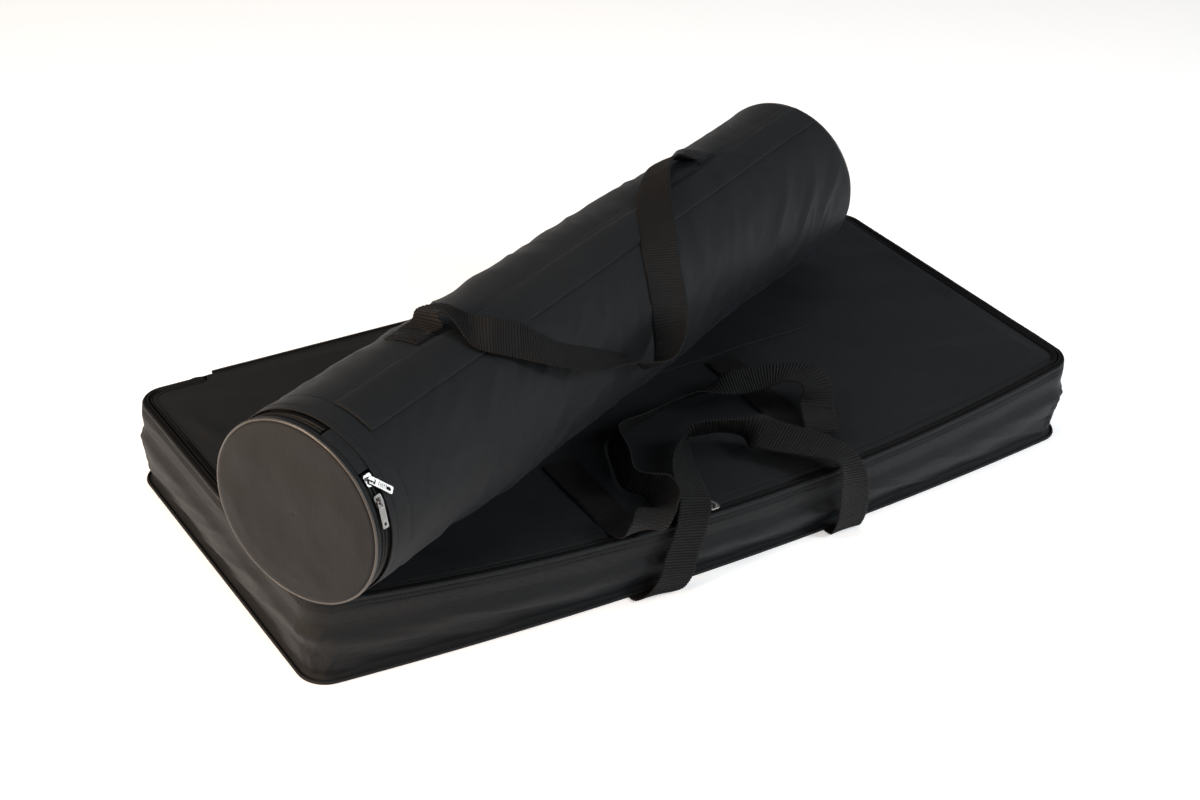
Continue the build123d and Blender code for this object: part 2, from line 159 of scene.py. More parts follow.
def new_finish(name):
    """An empty material with its shader, and a wire to start expressions from."""
    material = bpy.data.materials.new(name)
    material.use_nodes = True
    shader = material.node_tree.nodes["Principled BSDF"]
    place = material.node_tree.nodes.new("ShaderNodeTexCoord")
    return material, shader, Wire(material.node_tree, place.outputs["Object"])


def feed(material, shader, **sockets):
    for key, wire in sockets.items():
        material.node_tree.links.new(wire.socket, shader.inputs[key.replace("_", " ")])


floor_mesh = bpy.data.meshes.new("floor")
reach = 9.0
floor_mesh.from_pydata(
    [(-reach, -reach, -0.0008), (reach, -reach, -0.0008), (reach, reach, -0.0008), (-reach, reach, -0.0008)],
    [],
    [(0, 1, 2, 3)],
)
floor = bpy.data.objects.new("floor", floor_mesh)
bpy.context.collection.objects.link(floor)
floor_finish, shader, place = new_finish("white_floor")
shader.inputs["Base Color"].default_value = (0.93, 0.93, 0.93, 1)
shader.inputs["Roughness"].default_value = 0.9
shader.inputs["Specular IOR Level"].default_value = 0.1
shader.inputs["Emission Color"].default_value = (1, 1, 1, 1)
shader.inputs["Emission Strength"].default_value = 0.40
floor_mesh.materials.append(floor_finish)

# ---------------------------------------------------------------- polyester of the flat bag's walls
# Black polyester pack cloth, sewn round the bag as one gusset with its seam at the foot. Filled
# loosely, it bulges under the stitched hem, creases half way down and folds at the corners.


def polyester(name, colour=(0.0075, 0.0082, 0.0090), roughness=0.52):
    """Fine black pack cloth: a close weave, slightly uneven dye and a soft sheen."""
    material, shader, place = new_finish(name)
    clouds = place.node("ShaderNodeTexNoise", {}, Vector=place, Scale=9.0, Detail=4.0, Roughness=0.6)
    grain = place.node("ShaderNodeTexNoise", {}, Vector=place, Scale=620.0, Detail=3.0, Roughness=0.8)
    warp = place.node(
        "ShaderNodeTexWave", {"bands_direction": "X"}, 1, Vector=place, Scale=420.0, Distortion=1.5, Detail=1.0
    )
    weft = place.node(
        "ShaderNodeTexWave", {"bands_direction": "Y"}, 1, Vector=place, Scale=420.0, Distortion=1.5, Detail=1.0
    )
    weave = warp * weft * 0.5 + grain * 0.9
    tone = clouds * 0.35 + grain * 0.75
    cloth = place.node(
        "ShaderNodeMix",
        {"data_type": "RGBA"},
        2,
        i0=tone,
        i6=(*[c * 0.35 for c in colour], 1),
        i7=(*[c * 1.75 for c in colour], 1),
    )
    bump = place.node("ShaderNodeBump", {}, Strength=0.6, Distance=0.0006, Height=weave)
    rough = clouds * 0.12 + (roughness - 0.06)
    feed(material, shader, Base_Color=cloth, Roughness=rough, Normal=bump)
    shader.inputs["Specular IOR Level"].default_value = 0.14
    shader.inputs["Sheen Weight"].default_value = 0.03
    shader.inputs["Sheen Roughness"].default_value = 0.45
    shader.inputs["Sheen Tint"].default_value = (0.75, 0.85, 1.0, 1)
    return material


pack_cloth = polyester("pack_cloth")

low_corner, high_corner = (Vector(corner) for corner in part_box("base_panel"))
half_length = high_corner.x
side = high_corner.y
bow = -low_corner.y - side
corner_radius = 0.030
bag_height = 0.107
rim_sag = 0.032
front_plane = side + bow + 0.012


def lid_top(x, y):
    """Height of the rim and lid, which sag along the handle side."""
    radius = (half_length**2 + rim_sag**2) / (2 * rim_sag)
    front = bag_height - rim_sag + radius - math.sqrt(radius**2 - min(abs(x), 0.52) ** 2)
    share = (side + 0.002 - y) / (side + 0.002 + front_plane)
    return bag_height + (front - bag_height) * share


def bag_outline(step):
    """Points, outward normals and running length round the bag, from the middle of the hinge side."""
    radius = (half_length**2 + bow**2) / (2 * bow)
    centre_y = -side - bow + radius
    corner_x = half_length - corner_radius
    front_y = centre_y - math.sqrt((radius - corner_radius) ** 2 - corner_x**2)
    tilt = math.asin(corner_x / (radius - corner_radius))
    quarter = math.pi / 2
    runs = []

    def straight(start, end, normal):
        count = max(2, round((Vector(end) - Vector(start)).length / step))
        for i in range(count):
            runs.append((Vector(start).lerp(Vector(end), i / count), Vector(normal)))

    def arc(centre, r, start, end):
        count = max(6, round(abs(end - start) * r / step))
        for i in range(count):
            a = start + (end - start) * i / count
            out = Vector((math.cos(a), math.sin(a)))
            runs.append((Vector(centre) + out * r, out))

    straight((0, side), (-corner_x, side), (0, 1))
    arc((-corner_x, side - corner_radius), corner_radius, quarter, 2 * quarter)
    straight((-half_length, side - corner_radius), (-half_length, front_y), (-1, 0))
    arc((-corner_x, front_y), corner_radius, 2 * quarter, 3 * quarter - tilt)
    arc((0, centre_y), radius, 3 * quarter - tilt, 3 * quarter + tilt)
    arc((corner_x, front_y), corner_radius, 3 * quarter + tilt, 4 * quarter)
    straight((half_length, front_y), (half_length, side - corner_radius), (1, 0))
    arc((corner_x, side - corner_radius), corner_radius, 0, quarter)
    straight((corner_x, side), (0, side), (0, 1))
    return runs


def skin(name, rows, closed=False, finish=None, thickness=0.0, offset=1.0, spacing=0.0):
    """A smooth sheet through rows of points, with its own lengths in metres as UVs."""
    count = len(rows[0])
    points = [tuple(p) for row in rows for p in row]
    faces = []
    last = count if closed else count - 1
    for r in range(len(rows) - 1):
        for c in range(last):
            n = (c + 1) % count
            faces.append((r * count + c, r * count + n, (r + 1) * count + n, (r + 1) * count + c))
    mesh = bpy.data.meshes.new(name)
    mesh.from_pydata(points, [], faces)
    along = [0.0]
    middle = rows[len(rows) // 2]
    for c in range(last):
        along.append(along[-1] + (spacing or (Vector(middle[(c + 1) % count]) - Vector(middle[c])).length))
    across = [0.0]
    for r in range(len(rows) - 1):
        across.append(across[-1] + (Vector(rows[r + 1][count // 2]) - Vector(rows[r][count // 2])).length)
    layer = mesh.uv_layers.new(name="lengths")
    loop = 0
    for r in range(len(rows) - 1):
        for c in range(last):
            for u, v in ((c, r), (c + 1, r), (c + 1, r + 1), (c, r + 1)):
                layer.data[loop].uv = (along[u], across[v])
                loop += 1
    mesh.polygons.foreach_set("use_smooth", [True] * len(mesh.polygons))
    piece = bpy.data.objects.new(name, mesh)
    bpy.context.collection.objects.link(piece)
    if finish:
        mesh.materials.append(finish)
    if thickness:
        solid = piece.modifiers.new("thickness", "SOLIDIFY")
        solid.thickness = thickness
        solid.offset = offset
        solid.use_even_offset = False
    return piece


def near(value, centre, width):
    """One at the centre, fading to nothing at a distance of width."""
    t = min(1.0, abs(value - centre) / width)
    return 1 - t * t * (3 - 2 * t)


hem_depth = 0.031
rim_step = 0.004
outline = bag_outline(rim_step)
wall_levels = [i / 26 for i in range(27)]
hem_levels = [i / 14 for i in range(15)]


def crests(x, y, z):
    """Narrow crests that wander through the cloth, from nought to one."""
    return max(0.0, 1 - 3.0 * abs(noise.noise(Vector((x, y, z)))))


def wall_bulge(p, n, t, z):
    """How far the wall stands out at a height t of its way from the foot to the hem."""
    around = p.x * (1 - abs(n.x)) + p.y * abs(n.x)
    crease = 0.40 + 0.16 * noise.noise(Vector((around * 4.5, n.x, 0.7)))
    roll = 0.0050 * math.sin(math.pi * min(1.0, max(0.0, (t - crease) / (1 - crease))))
    tuck = -0.0075 * min(1.0, max(0.0, (crease - t) / max(crease - 0.06, 0.1))) ** 0.8
    pinched = near(t, crease, 0.05) * -0.0012
    lean = around * 11 + z * 34
    wrinkles = (crests(lean, around * 3, n.y * 2) - 0.3) * 0.0022
    wrinkles += noise.noise(Vector((around * 26, z * 34, n.x * 2 + 4))) * 0.0011
    corner = near(abs(p.x), half_length, 0.075) * near(abs(p.y), side, 0.09)
    pinch = corner * (near(t, 0.55, 0.25) * -0.0040 + near(t, 0.12, 0.2) * 0.0015)
    return roll + tuck + pinched + wrinkles + pinch


rows = []
for t in wall_levels:
    row = []
    for p, n in outline:
        top = lid_top(p.x, p.y) - hem_depth
        z = 0.0014 + (top - 0.0014) * t
        out = 0.0004 + wall_bulge(p, n, t, z) * min(1.0, 15 * t) * min(1.0, 5 * (1 - t))
        row.append((p.x + n.x * out, p.y + n.y * out, z))
    rows.append(row)
for t in hem_levels:
    row = []
    for p, n in outline:
        top = lid_top(p.x, p.y) - 0.0020
        z = top - (hem_depth - 0.0020) * (1 - t) + (0.0006 if t == 0 else 0.0)
        out = 0.0011 + 0.0010 * near(t, 0.5, 0.5)
        out -= 0.0016 * near(t, 0.80, 0.07) + 0.0014 * near(t, 0.62, 0.06) + 0.0012 * near(t, 1.0, 0.08)
        out += noise.noise(Vector((p.x * 16, p.y * 16, t))) * 0.0010
        row.append((p.x + n.x * out, p.y + n.y * out, z))
    rows.append(row)
for inset in (0.0006, 0.0016):
    rows.append(
        [(p.x - n.x * inset, p.y - n.y * inset, lid_top(p.x, p.y) - 0.0022) for p, n in outline]
    )
bag_walls = skin("bag_walls", rows, True, pack_cloth, 0.0016, -1.0)
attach(bag_walls, "flat_bag")
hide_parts("front_wall", "back_wall", "left_wall", "right_wall", "rim_facing")

# ---------------------------------------------------------------- underside of the flat bag
# The bottom panel is the same cloth over a stiff board, joined to the gusset by a turned seam that
# stands out a little all round the foot.

rows = []
for inset, z in (
    (0.0, 0.0032), (-0.0010, 0.0026), (-0.0014, 0.0016), (-0.0008, 0.0007), (0.0008, 0.0003), (0.004, 0.0001),
    (0.012, 0.0003), (0.020, 0.0006),
):
    rows.append([(p.x - n.x * inset, p.y - n.y * inset, z) for p, n in outline])
for t in (0.25, 0.5, 0.75, 1.0):
    row = []
    for p, n in outline:
        start = Vector((p.x - n.x * 0.020, p.y - n.y * 0.020))
        spine = Vector((max(-0.3, min(0.3, p.x)), 0))
        q = start.lerp(spine, t)
        row.append((q.x, q.y, 0.0007 + noise.noise(Vector((q.x * 8, q.y * 8, 2))) * 0.0003))
    rows.append(row)
bag_bottom = skin("bag_bottom", rows, True, pack_cloth, 0.0012, -1.0)
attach(bag_bottom, "flat_bag")
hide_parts("base_panel")

# ---------------------------------------------------------------- zip of the lid
# A long black coil zip: two woven tapes and two rows of nylon coil, sewn between the gusset's hem
# and the lid along the handle side, both ends, and a hand's width round the hinge side's corners.


def woven_tape(name):
    """Black zip tape, a close herringbone with a dull face."""
    material, shader, place = new_finish(name)
    lengths = place.node("ShaderNodeUVMap", {"uv_map": "lengths"})
    ribs = place.node(
        "ShaderNodeTexWave", {"bands_direction": "X"}, 1, Vector=lengths, Scale=300.0, Distortion=0.6
    )
    fuzz = place.node("ShaderNodeTexNoise", {}, Vector=place, Scale=700.0, Detail=2.0)
    bump = place.node("ShaderNodeBump", {}, Strength=0.5, Distance=0.0003, Height=ribs * 0.6 + fuzz * 0.5)
    colour = place.node(
        "ShaderNodeMix", {"data_type": "RGBA"}, 2, i0=fuzz, i6=(0.002, 0.002, 0.002, 1), i7=(0.006, 0.006, 0.007, 1)
    )
    feed(material, shader, Base_Color=colour, Normal=bump)
    shader.inputs["Roughness"].default_value = 0.8
    shader.inputs["Specular IOR Level"].default_value = 0.08
    return material


def nylon(name):
    """Black nylon coil with a satin surface."""
    material, shader, place = new_finish(name)
    dust = place.node("ShaderNodeTexNoise", {}, Vector=place, Scale=180.0, Detail=3.0)
    feed(material, shader, Roughness=dust * 0.25 + 0.28)
    shader.inputs["Base Color"].default_value = (0.004, 0.004, 0.004, 1)
    shader.inputs["Specular IOR Level"].default_value = 0.35
    return material


zip_tape = woven_tape("zip_tape")
zip_coil = nylon("zip_coil")
zip_end = half_length - 0.080
zip_line = [(p, n) for p, n in bag_outline(0.0035) if not (p.y > side - 0.001 and abs(p.x) < zip_end)]


def rim_strip(name, profile, body, nodes):
    """A strip along the zip line; profile lists insets from the outline and drops below the rim."""
    strip_rows = []
    for inset, drop in profile:
        strip_rows.append(
            [(p.x - n.x * inset, p.y - n.y * inset, lid_top(p.x, p.y) - drop) for p, n in zip_line]
        )
    strip = skin(name, strip_rows, False, zip_tape, 0.0008, 0.0)
    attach(strip, body)
    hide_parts(*nodes)
    return strip


rim_strip("bag_zip_tape_cloth", [(0.0012, 0.0016), (0.0024, 0.0018), (0.0042, 0.0016), (0.0062, 0.0018)], "flat_bag", ["bag_zip_tape"])
rim_strip("lid_zip_tape_cloth", [(0.0088, 0.0018), (0.0108, 0.0016), (0.0126, 0.0018), (0.0150, 0.0014)], "flat_lid", ["lid_zip_tape"])


def coil_teeth(name, seats, width, depth, pitch_fill, body, node):
    """Rounded turns of coil, one at each seat: middle, along, across and out directions."""
    points, faces = [], []
    shape = [(-1, -0.5), (-0.6, 0.6), (0.0, 1.0), (0.6, 0.6), (1, -0.5), (0.0, -0.9)]
    for middle, along, across, out, step in seats:
        start = len(points)
        for end in (-0.5, 0.5):
            for u, v in shape:
                q = middle + across * (u * width / 2) + out * (v * depth / 2) + along * (end * step * pitch_fill)
                points.append(tuple(q))
        count = len(shape)
        for i in range(count):
            j = (i + 1) % count
            faces.append((start + i, start + j, start + count + j, start + count + i))
        faces.append(tuple(start + i for i in reversed(range(count))))
        faces.append(tuple(start + count + i for i in range(count)))
    mesh = bpy.data.meshes.new(name)
    mesh.from_pydata(points, [], faces)
    mesh.materials.append(zip_coil)
    piece = bpy.data.objects.new(name, mesh)
    bpy.context.collection.objects.link(piece)
    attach(piece, body)
    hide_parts(node)
    return piece


tooth_pitch = 0.0017
tooth_line = [(p, n) for p, n in bag_outline(tooth_pitch) if not (p.y > side - 0.001 and abs(p.x) < zip_end)]
for name, inset, body in (("bag_zip_coil", 0.0056, "flat_bag"), ("lid_zip_coil", 0.0094, "flat_lid")):
    seats = []
    for p, n in tooth_line:
        across = Vector((n.x, n.y, 0))
        middle = Vector((p.x, p.y, lid_top(p.x, p.y) - 0.0014)) - across * inset
        seats.append((middle, Vector((-n.y, n.x, 0)), across, Vector((0, 0, 1)), tooth_pitch))
    coil_teeth(name + "_turns", seats, 0.0025, 0.0024, 0.66, body, name)

# ---------------------------------------------------------------- lid of the flat bag
# One panel of the same cloth over a thin lining, sewn to the inner zip tape with a turned edge. It
# hangs between the rims, so it sags towards the handle side and ripples where the tube presses it.

tube_mouth = Vector((-0.505, -0.210, 0.206))
tube_turn = math.radians(24.2)
tube_axis = Vector((math.cos(tube_turn), math.sin(tube_turn), 0))
tube_front = Vector((math.sin(tube_turn), -math.cos(tube_turn), 0))


def lid_ripple(x, y):
    """Height of the lid's loose cloth over its plain sagging shape."""
    place = Vector((x, y, 0))
    offset = place - Vector((tube_mouth.x, tube_mouth.y, 0))
    beside = offset.dot(tube_front)
    calm = 1 - 0.7 * near(x, 0.0, 0.26) * near(y, -0.22, 0.16)
    wave = noise.noise(Vector((x * 5.5, y * 7, 1.3))) * 0.0050 * calm
    slant = x * 0.42 + y * 0.91 + 0.03 * noise.noise(Vector((x * 6, y * 6, 8.0)))
    by_rim = near(y, -side, 0.20) * near(x, 0.36, 0.24)
    wave += noise.noise(Vector((slant * 20, (x - y) * 5, 5.1))) * 0.0018 * calm
    wave += (crests(slant * 13, x * 3.5, 5.1) - 0.2) * (0.0012 + 0.0034 * by_rim) * calm
    wave += noise.noise(Vector((x * 30, y * 26, 2.2))) * 0.0005
    ridge = Vector((-0.499, 0.178, 0))
    ridge_end = Vector((-0.425, 0.030, 0))
    line = (ridge_end - ridge).normalized()
    away = (place - ridge).dot(line.cross(Vector((0, 0, 1))))
    onward = (place - ridge).dot(line)
    fold = near(away, 0.0, 0.020) * near(onward, 0.08, 0.16) * 0.0032
    dip = near(x, 0.30, 0.22) * near(y, -0.19, 0.05) * -0.0025
    dent = near(beside, 0.02, 0.11) * -0.0016
    return wave + fold + dip + dent


rows = []
lid_line = bag_outline(rim_step)
edge = [(0.0108, -0.0016), (0.0120, -0.0011), (0.0136, -0.0008), (0.0150, -0.0012), (0.0170, 0.0), (0.0210, 0.0004)]
for inset, lift in edge:
    row = []
    for p, n in lid_line:
        hinge_side = p.y > side - 0.001 and abs(p.x) < zip_end - 0.004
        depth = inset - 0.0104 if hinge_side else inset
        x, y = p.x - n.x * depth, p.y - n.y * depth
        row.append((x, y, lid_top(x, y) + lift))
    rows.append(row)
lid_steps = 72
for i in range(1, lid_steps + 1):
    t = i / lid_steps
    row = []
    for p, n in lid_line:
        hinge_side = p.y > side - 0.001 and abs(p.x) < zip_end - 0.004
        depth = 0.0106 if hinge_side else 0.0210
        start = Vector((p.x - n.x * depth, p.y - n.y * depth))
        spine = Vector((max(-0.28, min(0.28, p.x)), 0))
        q = start.lerp(spine, t)
        settle = min(1.0, t * 14)
        z = lid_top(q.x, q.y) + 0.0004 + lid_ripple(q.x, q.y) * settle
        row.append((q.x, q.y, z))
    rows.append(row)
lid_cloth = skin("lid_cloth", rows, True, pack_cloth, 0.0022, -1.0)
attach(lid_cloth, "flat_lid")
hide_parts("lid_panel")

# ---------------------------------------------------------------- tube bag
# A round tube of the same cloth with a foam lining and one lengthwise seam along its upper front.
# The cloth hangs slackly from the seam, so it ripples a little down its front.


def tube_point(along, angle, radius):
    """Point by distance from the mouth, degrees from the tube's top towards its front, and radius."""
    a = math.radians(angle)
    return tube_mouth + tube_axis * along + (Vector((0, 0, math.cos(a))) + tube_front * math.sin(a)) * radius


tube_radius = 0.097
tube_length = 0.938
hem_end = 0.052


def tube_slack(along, angle):
    """How far the tube's cloth stands off its round shape."""
    a = math.radians(angle)
    down = max(0.0, math.sin(a * 0.5)) ** 0.6
    lean = along + 0.075 * a + 0.022 * noise.noise(Vector((along * 7, a * 1.4, 1.0)))
    gather = 0.6 + 0.9 * noise.noise(Vector((along * 5, a * 1.1, 7.0)))
    folds = (crests(lean * 14, a * 0.9, 3.0) - 0.3) * 0.0062 * max(0.30, gather)
    folds += (crests(lean * 27, a * 1.6, 5.0) - 0.3) * 0.0020
    fine = noise.noise(Vector((lean * 40, a * 3.0, 9.0))) * 0.0008
    swell = noise.noise(Vector((along * 5, a * 0.8, 6.0))) * 0.0030
    ends = min(1.0, max(0.0, (along - 0.03) / 0.06)) * min(1.0, (tube_length - along) / 0.04)
    return ((folds + fine) * down + swell - 0.0012) * ends


angle_steps = [i * 1.8 for i in range(200)]


def tube_rows(places, radius_of, angles=None):
    """Rows round the tube at each distance from its mouth."""
    return [[tube_point(s, a, radius_of(s, a)) for a in (angles or angle_steps)] for s in places]


def wall_radius(along, angle):
    hem = near(along, 0.037, 0.0155) * 0.0006 if along < hem_end else 0.0
    groove = 0.0007 * (near(along, 0.0305, 0.0016) + near(along, 0.0520, 0.0016))
    return tube_radius + 0.0006 * (along < hem_end) + hem - groove + tube_slack(along, angle)


places = [0.0226 + i * 0.0011 for i in range(30)]
places += [0.0560 + (tube_length - 0.060) * i / 340 for i in range(341)]
tube_cloth = skin("tube_cloth", tube_rows(places, wall_radius), True, pack_cloth, 0.0014, 1.0)
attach(tube_cloth, "tube_bag")
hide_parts("tube_wall", "tube_mouth_hem")


# ---------------------------------------------------------------- stitching
# Black bonded thread. Each stitch is a short tight lens that bites into the cloth at both ends.


def thread_finish():
    material, shader, place = new_finish("bonded_thread")
    fleck = place.node("ShaderNodeTexNoise", {}, Vector=place, Scale=900.0, Detail=1.0)
    feed(material, shader, Roughness=fleck * 0.2 + 0.35)
    shader.inputs["Base Color"].default_value = (0.0015, 0.0015, 0.0015, 1)
    shader.inputs["Specular IOR Level"].default_value = 0.10
    return material


thread = thread_finish()


def stitches(name, lines, body, pitch=0.0042, length=0.0030, width=0.0010):
    """Rows of stitches; each line is a list of points with the direction out of the cloth."""
    points, faces = [], []
    for line in lines:
        carried = 0.0
        for (p, out), (q, _) in zip(line, line[1:]):
            run = q - p
            if run.length < 1e-7:
                continue
            along = run.normalized()
            across = along.cross(out).normalized()
            at = carried
            while at < run.length:
                middle = p + along * at
                start = len(points)
                for u, v, w in (
                    (-0.5, 0, -0.25), (-0.22, 0.5, 0.1), (-0.22, 0, 0.45), (-0.22, -0.5, 0.1),
                    (0.22, 0.5, 0.1), (0.22, 0, 0.45), (0.22, -0.5, 0.1), (0.5, 0, -0.25),
                ):
                    points.append(tuple(middle + along * (u * length) + across * (v * width) + out * (w * width)))
                for f in (
                    (0, 1, 2), (0, 2, 3), (1, 4, 5, 2), (2, 5, 6, 3), (7, 5, 4), (7, 6, 5), (0, 3, 1), (1, 3, 6, 4), (7, 4, 6),
                ):
                    faces.append(tuple(start + i for i in f))
                at += pitch
            carried = at - run.length
    mesh = bpy.data.meshes.new(name)
    mesh.from_pydata(points, [], faces)
    mesh.materials.append(thread)
    piece = bpy.data.objects.new(name, mesh)
    bpy.context.collection.objects.link(piece)
    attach(piece, body)
    return piece


hem_lines = []
for drop, stand in ((0.0078, 0.0009), (0.0130, 0.0013)):
    line = []
    for p, n in outline + outline[:1]:
        out = Vector((n.x, n.y, 0))
        line.append((Vector((p.x, p.y, lid_top(p.x, p.y) - drop)) + out * stand, out))
    hem_lines.append(line)
stitches("hem_stitches", hem_lines, "flat_bag")
edge_line = []
for p, n in lid_line + lid_line[:1]:
    hinge_side = p.y > side - 0.001 and abs(p.x) < zip_end - 0.004
    depth = 0.0066 if hinge_side else 0.0170
    x, y = p.x - n.x * depth, p.y - n.y * depth
    edge_line.append((Vector((x, y, lid_top(x, y) + 0.0002)), Vector((0, 0, 1))))
stitches("lid_edge_stitches", [edge_line], "flat_lid")

# ---------------------------------------------------------------- hinge side of the flat bag
# The lid is sewn to the back of the gusset in one rolled fold, and a square of webbing bar-tacks
# each end of the zip.


def roll(name, centres, radius, finish, body, slot, nodes=(), closed=False, sides=10):
    """A round cord through centres, each with its own outward direction."""
    ring_rows = []
    count = len(centres)
    for k in range(sides + 1):
        a = 2 * math.pi * k / sides
        row = []
        for i, (c, out) in enumerate(centres):
            after = centres[(i + 1) % count][0] if closed or i + 1 < count else c
            before = centres[i - 1][0] if closed or i else c
            along = (after - before).normalized()
            other = along.cross(out).normalized()
            row.append(c + out * (math.cos(a) * radius) + other * (math.sin(a) * radius))
        ring_rows.append(row)
    piece = skin(name, ring_rows, closed, finish)
    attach(piece, body)
    if nodes:
        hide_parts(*nodes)
    return piece


fold_end = zip_end - 0.014
fold_line = []
for i in range(200):
    x = -fold_end + 2 * fold_end * i / 199
    wobble = noise.noise(Vector((x * 30, 0, 0))) * 0.0003
    fold_line.append((Vector((x, side + 0.0020 + wobble, bag_height - 0.0016)), Vector((0, 0, 1))))
roll("hinge_fold", fold_line, 0.0022, pack_cloth, "flat_bag", "polyester", ["lid_hinge_fold"])


def webbing_finish(name, colour=(0.0022, 0.0022, 0.0024), pitch=0.0032):
    """Black polypropylene webbing: raised ribs across it, a fine plait between them, dull face."""
    material, shader, place = new_finish(name)
    lengths = place.node("ShaderNodeUVMap", {"uv_map": "lengths"})
    ribs = place.node(
        "ShaderNodeTexWave", {"bands_direction": "X", "wave_profile": "SIN"}, 1,
        Vector=lengths, Scale=0.31416 / pitch,
    )
    plait = place.node(
        "ShaderNodeTexWave", {"bands_direction": "Y", "wave_profile": "SIN"}, 1, Vector=lengths, Scale=260.0, Distortion=0.8
    )
    fuzz = place.node("ShaderNodeTexNoise", {}, Vector=place, Scale=800.0, Detail=2.0)
    # Painted shade: the colour follows the ribs and the plait, dark in their grooves and light on their crests. The
    # fuzz adds random tone.
    tone = ribs * 0.55 + plait * 0.15 + fuzz * 0.3
    cloth = place.node(
        "ShaderNodeMix", {"data_type": "RGBA"}, 2, i0=tone,
        i6=(*[c * 0.2 for c in colour], 1), i7=(*[c * 3.2 for c in colour], 1),
    )
    bump = place.node("ShaderNodeBump", {}, Strength=0.9, Distance=0.0011, Height=ribs + plait * 0.3 + fuzz * 0.25)
    feed(material, shader, Base_Color=cloth, Normal=bump)
    shader.inputs["Roughness"].default_value = 0.62
    shader.inputs["Specular IOR Level"].default_value = 0.20
    shader.inputs["Sheen Weight"].default_value = 0.012
    shader.inputs["Sheen Roughness"].default_value = 0.5
    shader.inputs["Sheen Tint"].default_value = (1.0, 0.96, 0.92, 1)
    return material


webbing = webbing_finish("ribbed_webbing")
for end in (-1, 1):
    x = end * (zip_end + 0.0065)
    rows = []
    for k in range(9):
        z = bag_height - 0.0035 - 0.0215 * k / 8
        rows.append(
            [(x + 0.0062 * (j / 4 - 1), side + 0.0026 + 0.0006 * math.cos(j * 0.7 - 2.8), z) for j in range(9)]
        )
    tab = skin(f"zip_end_tab_{'left' if end < 0 else 'right'}", rows, False, webbing, 0.0012, 0.0)
    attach(tab, "flat_bag")
    if end < 0:
        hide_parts("zip_end_tabs")

# ---------------------------------------------------------------- seam band, linings and far end of the tube
# A wide strip of cloth covers the tube's lengthwise seam and is stitched down along both edges. The
# far end is a disc of cloth set in with a piped seam, and the tube is lined with thin foam.


def seam_angle(along):
    """Lower edge of the seam band, in degrees from the tube's top."""
    return 31.5 - 7 * along / tube_length + 0.8 * noise.noise(Vector((along * 7, 2, 0)))


def seam_top(along):
    return 3.0 + 3 * noise.noise(Vector((along * 3, 8, 0)))


rows = []
places = [0.053 + (tube_length - 0.0575) * i / 220 for i in range(221)]
for k in range(17):
    share = k / 16
    row = []
    for s in places:
        angle = seam_top(s) + (seam_angle(s) - seam_top(s)) * share
        lift = 0.0022 - 0.0018 * (1 - min(1.0, 8 * share)) - 0.0008 * (1 - min(1.0, 10 * (1 - share)))
        lift += 0.0005 * noise.noise(Vector((s * 40, share * 2, 1)))
        row.append(tube_point(s, angle, wall_radius(s, angle) + lift))
    rows.append(row)
seam_band = skin("seam_band", rows, False, pack_cloth, 0.0010, -1.0)
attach(seam_band, "tube_bag")
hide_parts("tube_seam_band")


def tube_line(points):
    """Stitching line on the tube from (along, angle, height over the cloth)."""
    line = []
    for s, a, lift in points:
        out = (tube_point(s, a, 1) - tube_point(s, a, 0)).normalized()
        line.append((tube_point(s, a, wall_radius(s, a) + lift), out))
    return line


long_lines = [
    tube_line([(s, seam_angle(s) - 1.6, 0.0015) for s in places]),
    tube_line([(s, seam_top(s) + 1.6, 0.0015) for s in places]),
]
ring_lines = [
    tube_line([(s, a, 0.0004) for a in range(0, 362, 2)]) for s in (0.0305, 0.0362)
]
stitches("tube_seam_stitches", long_lines, "tube_bag")
stitches("tube_hem_stitches", ring_lines, "tube_bag")


def end_disc(name, along, outward, body, node, swell):
    """Disc of cloth across the tube, a little slack inside its piped edge."""
    disc_rows = []
    for k in range(25):
        share = 1 - k / 24
        radius = 0.0958 * max(share, 0.002)
        row = []
        for i in range(120):
            a = 2 * math.pi * i / 120
            x, y = radius * math.cos(a), radius * math.sin(a)
            slack = noise.noise(Vector((x * 22, y * 22, along * 9))) * 0.0022
            slack += noise.noise(Vector((x * 55, y * 55, along * 9 + 3))) * 0.0006
            stand = (swell + slack) * min(1.0, (1 - share) * 5) + 0.0004
            row.append(tube_point(along + outward * stand, math.degrees(a), radius))
        disc_rows.append(row)
    disc = skin(name, disc_rows, True, pack_cloth, 0.0014, 0.0)
    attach(disc, body)
    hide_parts(node)
    return disc


end_disc("far_end_cloth", tube_length - 0.0010, 1, "tube_bag", "tube_end_disc", 0.0012)
end_disc("cap_cloth", 0.0010, -1, "tube_cap", "cap_disc", 0.0014)


def piping_finish():
    """Bias-cut cloth pulled tight over a cord, shinier than the panels."""
    material, shader, place = new_finish("piping_cloth")
    twist = place.node("ShaderNodeTexNoise", {}, Vector=place, Scale=600.0, Detail=2.0)
    colour = place.node(
        "ShaderNodeMix", {"data_type": "RGBA"}, 2, i0=twist, i6=(0.016, 0.015, 0.014, 1), i7=(0.045, 0.042, 0.039, 1)
    )
    bump = place.node("ShaderNodeBump", {}, Strength=0.3, Distance=0.0003, Height=twist)
    feed(material, shader, Base_Color=colour, Normal=bump, Roughness=twist * 0.15 + 0.30)
    shader.inputs["Specular IOR Level"].default_value = 0.6
    return material


piping_cloth = piping_finish()
for name, along, body, node in (
    ("cap_piping_cord", 0.0016, "tube_cap", "cap_piping"),
    ("far_end_piping_cord", tube_length - 0.0016, "tube_bag", "tube_end_piping"),
):
    centres = []
    for i in range(180):
        a = i * 2.0
        out = (tube_point(along, a, 1) - tube_point(along, a, 0)).normalized()
        radius = 0.0970 + 0.0003 * noise.noise(Vector((i * 0.15, 0, along)))
        centres.append((tube_point(along, a, radius), out))
    roll(name, centres, 0.0016, piping_cloth, body, "piping", [node], True)

